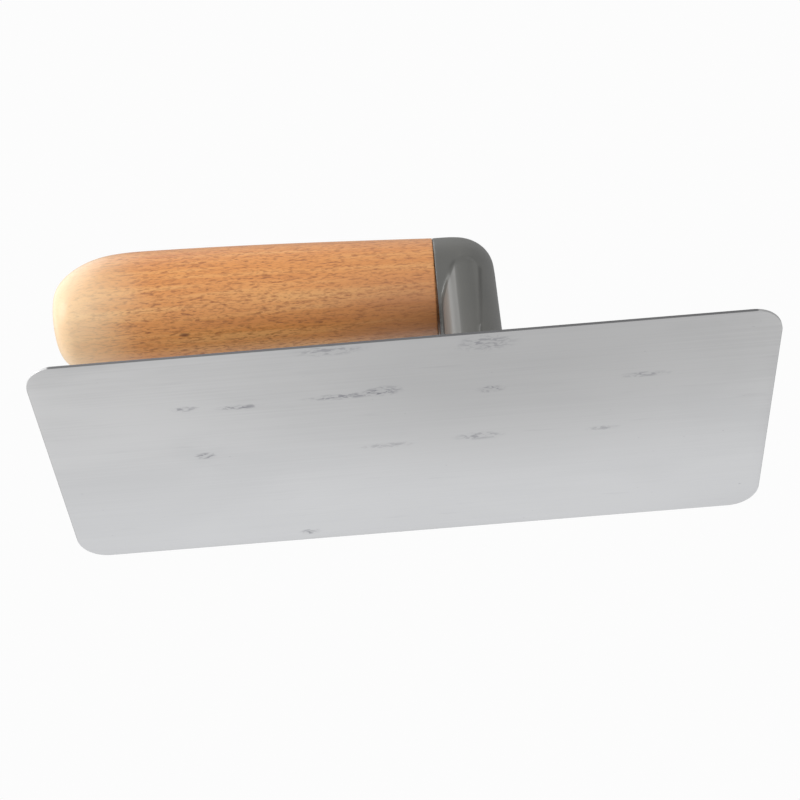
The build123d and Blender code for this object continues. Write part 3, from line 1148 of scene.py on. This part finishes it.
@dataclass
class Grip:
    """The beech grip: ovals that swell along an axis and close in a rounded butt."""

    finishes: Finishes
    axis: GripAxis
    seam_half: float = 0.0181
    belly_half: float = 0.0204
    ratio: float = 0.9
    crown: float = 0.028
    side: float = 0.019
    heel: float = 0.008
    face_top: float = 0.0045
    face_bottom: float = 0.0095
    face_half_width: float = 0.0085
    edge: float = 0.0005
    counterbore: float = 0.018
    bore: float = 0.0086
    tenon_half: float = 0.016
    tenon_length: float = 0.009
    rows: int = 150
    around: int = 128
    seam_share: float = 0.10
    butt_share: float = 0.05
    flat_share: float = 0.6

    def build(self) -> list[Object]:
        """Makes the grip and its tenon.

        Returns:
            The two pieces.
        """
        place = self.axis.frame()
        mesh = merged(self._shape().run("grip_skin"), "grip_skin")
        mesh.transform(place)
        shade(mesh, 40)
        grip = add_piece("grip_skin", mesh, self.finishes.beech, "handle_grip")
        return [grip, self._tenon(place)]

    def _inputs(self) -> dict[str, Any]:
        """The named inputs of the grip's tree; the plain ones are the fields of the same name."""
        plain = ("Ratio", "Crown", "Side", "Heel", "Face top", "Face bottom", "Face half width", "Edge")
        inputs = {label: getattr(self, label.lower().replace(" ", "_")) for label in plain}
        return inputs | {
            "Length": self.axis.grip_length - HAIR,
            "Seam half": self.seam_half - HAIR,
            "Belly half": self.belly_half - HAIR,
            "Lean": math.tan(self.axis.frame().to_euler().y),
            "Counterbore": self.counterbore / 2,
            "Counterbore depth": self.axis.counterbore_depth,
            "Bore": self.bore / 2,
            "Rows": self.rows,
            "Around": self.around,
            "Material": self.finishes.beech,
        }

    def _shape(self) -> ShapeGraph:
        """The tree: a sheet rolled into the grip, then bored from the butt."""
        shape = ShapeGraph("Grip", self._inputs())
        sizes = {"Size X": 1.0, "Size Y": 1.0}
        sizes |= {"Vertices X": shape.given("Rows"), "Vertices Y": shape.given("Around")}
        sheet = shape.node("GeometryNodeMeshGrid", None, sizes)
        split = shape.node("ShaderNodeSeparateXYZ", None, {0: shape.node("GeometryNodeInputPosition")})
        along = split + 0.5
        turn = (split.other(1) + 0.5) * (2 * math.pi)
        point = self._point(shape, along, turn)
        rolled = shape.node("GeometryNodeSetPosition", None, {0: sheet, "Position": point})
        closed = shape.node("GeometryNodeMergeByDistance", None, {0: rolled, "Distance": 1e-6})
        shape.finish(self._bored(shape, closed))
        return shape

    def _point(self, shape: ShapeGraph, along: Term, turn: Term) -> Term:
        """The place on the grip of a point of the sheet.

        Args:
            shape: The tree.
            along: From 0 in the middle of the seam's face to 1 in the middle of the butt's face.
            turn: The angle round the axis.

        Returns:
            The place, in the grip's frame.
        """
        length, edge = shape.given("Length"), shape.given("Edge")
        face = (along / self.seam_share).held()
        flat = (face / self.flat_share).held()
        roll = ((face - self.flat_share) / (1 - self.flat_share)).held() * (math.pi / 2)
        body = ((along - self.seam_share) / (1 - self.seam_share - self.butt_share)).held()
        closing = ((1.0 - along) / self.butt_share).held()
        back = edge * (1.0 - roll.cosine()) + (length - edge) * body * (2.0 - body)
        swell = ((back / (length - shape.given("Crown"))).at_most(1.0) * (math.pi / 2)).sine()
        half = shape.given("Seam half") + (shape.given("Belly half") - shape.given("Seam half")) * swell
        top = self._rounded(shape, back, half, "Face top", "Crown")
        bottom = self._rounded(shape, back, half, "Face bottom", "Heel")
        wide = self._rounded(shape, back, half * shape.given("Ratio"), "Face half width", "Side")
        rim = edge / half
        spread = ((1.0 - rim) * flat + rim * roll.sine()) * closing
        y = wide * spread * turn.cosine()
        z = (top - bottom) * 0.5 + (top + bottom) * 0.5 * spread * turn.sine()
        x = (-back).at_most(-(z.at_least(0.0) * shape.given("Lean")))
        return shape.node("ShaderNodeCombineXYZ", None, {0: x, 1: y, 2: z})

    @staticmethod
    def _rounded(shape: ShapeGraph, back: Term, full: Term, face: str, reach: str) -> Term:
        """A size that falls along a quarter ellipse to the butt's face."""
        end, length = shape.given(face), shape.given(reach)
        into = ((back - shape.given("Length") + length) / length).held()
        return end + (full - end) * (1.0 - into * into).at_least(0.0).root()

    @staticmethod
    def _bored(shape: ShapeGraph, solid: Term) -> Term:
        """Cuts the counterbore and the tang's bore."""
        depth, length = shape.given("Counterbore depth"), shape.given("Length")
        cuts = (("Counterbore", depth * 2.0, -length, 96), ("Bore", length * 3.0, -length * 0.5, 48))
        for label, tall, centre, sides in cuts:
            sizes = {"Vertices": sides, "Radius": shape.given(label), "Depth": tall}
            drill = shape.node("GeometryNodeMeshCylinder", None, sizes)
            at = shape.node("ShaderNodeCombineXYZ", None, {0: centre})
            turned = {0: drill, "Translation": at, "Rotation": (0.0, math.pi / 2, 0.0)}
            cutter = shape.node("GeometryNodeTransform", None, turned)
            settings = {"operation": "DIFFERENCE", "solver": "EXACT"}
            solid = shape.node("GeometryNodeMeshBoolean", settings, {"Mesh 1": solid, "Mesh 2": cutter})
        return solid

    def _tenon(self, place: Matrix) -> Object:
        """The oval tenon that shows in the gap under the seam."""
        rings = []
        for back in (0.001, -self.tenon_length + HAIR):
            half = self.tenon_half
            oval = [(point.x * half * self.ratio, point.y * half) for point in ring(1.0, 0.0, 64)]
            rings.append([Vector((-back, wide, tall)) for wide, tall in oval])
        mesh = skin_rings("grip_tenon", rings)
        mesh.transform(place)
        shade(mesh, 40)
        return add_piece("grip_tenon", mesh, self.finishes.beech)


@dataclass
class TangFixing:
    """The tang bolt with its washer and nut in the butt's counterbore."""

    finishes: Finishes
    axis: GripAxis
    diameter: float = 0.008
    pitch: float = 0.00125
    threaded: float = 0.022
    flats: float = 0.013
    head_height: float = 0.0053
    embedment: float = 0.0155
    protrusion: float = 0.0025
    washer_diameter: float = 0.016
    washer_bore: float = 0.0085

    def build(self) -> list[Object]:
        """Makes the bolt, the washer and the nut.

        Returns:
            The three pieces.
        """
        axis = self.axis
        seat = -axis.grip_length + axis.counterbore_depth
        end = seat - axis.washer_thickness - axis.nut_height - self.protrusion
        washer = PlainWasher(self.washer_diameter, self.washer_bore, axis.washer_thickness)
        nut = HexNut(self.flats, axis.nut_height, self.diameter)
        pieces = (
            ("tang_bolt", self._bolt(self.embedment - end), self.embedment),
            ("tang_washer", washer.mesh("tang_washer"), seat),
            ("tang_nut", nut.mesh("tang_nut"), seat - axis.washer_thickness),
        )
        return [self._place(node, mesh, at) for node, mesh, at in pieces]

    def _bolt(self, length: float) -> Mesh:
        """The bolt along +Z from its head, threaded at its far end."""
        thread = Thread(self.diameter, self.pitch)
        shank = self.diameter / 2
        rings = [
            ring(self.flats / 2, 0.0, thread.around, flats=6),
            ring(self.flats / 2, self.head_height, thread.around, flats=6),
            ring(shank, self.head_height + HAIR, thread.around),
            ring(shank, length - self.threaded - HAIR, thread.around),
        ]
        rings += thread.rings(self.threaded, length - self.threaded)
        mesh = skin_rings("tang_bolt", rings)
        shade(mesh, 40)
        return mesh

    def _place(self, node: str, mesh: Mesh, at: float) -> Object:
        """Turns a part to point at the butt, in place of its frame node."""
        back = Matrix.Translation((at, 0.0, 0.0)) @ Euler((0.0, -math.pi / 2, 0.0)).to_matrix().to_4x4()
        mesh.transform(self.axis.frame() @ back)
        return add_piece(node + "_finished", mesh, self.finishes.zinc, node)


# --- studio ---


@dataclass(frozen=True)
class Panel:
    """A large soft panel far off: its direction, its brightness and where it fades.

    The fade runs between two cosines of the angle from the direction.
    """

    towards: Triple
    outer: float
    inner: float
    strength: float

    def glow(self, graph: Graph, direction: Term) -> Term:
        """The panel's light in a direction."""
        sockets = {0: direction, 1: tuple(Vector(self.towards).normalized())}
        facing = graph.node("ShaderNodeVectorMath", {"operation": "DOT_PRODUCT"}, sockets, output="Value")
        return graph.step(facing, self.outer, self.inner) * self.strength


@dataclass
class Studio:
    """The camera, the pale surroundings, the soft lights and the bench top under the trowel."""

    eye: Triple = (0.00331, -0.39689, -0.33660)
    azimuth: float = -0.829
    elevation: float = 41.713
    roll: float = 4.112
    lens: float = 76.5
    surroundings: float = 0.975
    base: float = 0.80
    bench_half: float = 40.0
    bench_drop: float = 0.0004
    panels: tuple[Panel, ...] = (
        Panel((-0.735, -0.13, 0.665), 0.74, 0.82, 1.1),
        Panel((-0.90, -0.40, 0.14), 0.955, 0.985, 3.6),
        Panel((-0.25, -0.85, -0.45), 0.30, 0.95, 0.36),
        Panel((-0.20, 0.92, -0.34), 0.30, 0.95, 0.30),
        Panel((0.00, 0.75, 0.67), 0.45, 0.95, -0.40),
        Panel((0.95, -0.30, 0.10), 0.40, 0.95, -0.20),
    )

    def build(self) -> None:
        """Makes everything round the trowel."""
        self._camera()
        self._world()
        self._bench()
        bpy.context.scene.view_settings.view_transform = "Standard"

    def _camera(self) -> None:
        """The camera, which looks up at the working face."""
        data = bpy.data.cameras.new("Camera")
        data.lens = self.lens
        data.sensor_width = 36.0
        data.clip_start = 0.01
        camera = new_object("Camera", data)
        level = Matrix.Rotation(math.radians(-self.azimuth), 4, "Z")
        pitch = Matrix.Rotation(math.radians(90 + self.elevation), 4, "X")
        twist = Matrix.Rotation(math.radians(-self.roll), 4, "Z")
        camera.matrix_world = Matrix.Translation(self.eye) @ level @ pitch @ twist
        bpy.context.scene.camera = camera

    def _world(self) -> None:
        """Pale surroundings: even to the eye, with soft panels that only light the trowel."""
        world = bpy.data.worlds.new("Studio")
        world.use_nodes = True
        graph = Graph(world.node_tree)
        direction = graph.node("ShaderNodeTexCoord", output="Generated")
        light: Term | float = self.base
        for panel in self.panels:
            light = panel.glow(graph, direction) + light
        seen = graph.node("ShaderNodeLightPath", output="Is Camera Ray")
        strength = seen * self.surroundings + (1.0 - seen) * light
        white = {"Color": (1.0, 1.0, 1.0, 1.0), "Strength": strength}
        glow = graph.node("ShaderNodeBackground", None, white)
        graph.node("ShaderNodeOutputWorld", None, {"Surface": glow})
        bpy.context.scene.world = world

    def _bench(self) -> None:
        """The pale top that the blade lies on: it shows from above and is clear from underneath."""
        half = self.bench_half
        corners = ((-half, -half), (half, -half), (half, half), (-half, half))
        build = bmesh.new()
        build.faces.new([build.verts.new((x, y, -self.bench_drop)) for x, y in corners])
        mesh = bpy.data.meshes.new("bench_top")
        build.to_mesh(mesh)
        build.free()
        skin = Surface("Pale bench")
        back = skin.node("ShaderNodeNewGeometry", output="Backfacing")
        matt = skin.node("ShaderNodeBsdfDiffuse", None, {"Color": (0.80, 0.80, 0.80, 1.0)})
        clear = skin.node("ShaderNodeBsdfTransparent")
        both = skin.node("ShaderNodeMixShader", None, {0: back, 1: matt, 2: clear})
        skin.node("ShaderNodeOutputMaterial", None, {"Surface": both})
        mesh.materials.append(skin.material)
        bench = new_object("bench_top", mesh)
        for ray in ("diffuse", "glossy", "transmission", "shadow"):
            setattr(bench, f"visible_{ray}", False)


def main() -> None:
    """Builds the trowel, piece by piece, and its studio."""
    logging.basicConfig(level=logging.INFO, format="%(name)s: %(message)s")
    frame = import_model()
    finishes = Finishes()
    axis = GripAxis()
    nodes = frame["nodes"]
    assemblies = (
        Blade(finishes),
        BackingBar(finishes, nodes),
        Neck(finishes, nodes),
        FootFasteners(finishes),
        Grip(finishes, axis),
        TangFixing(finishes, axis),
    )
    for assembly in assemblies:
        made = assembly.build()
        for piece in made if isinstance(made, list) else [made]:
            LOG.info("%s: %d faces", piece.name, len(piece.data.polygons))
    Studio().build()


if __name__ == "__main__":
    main()
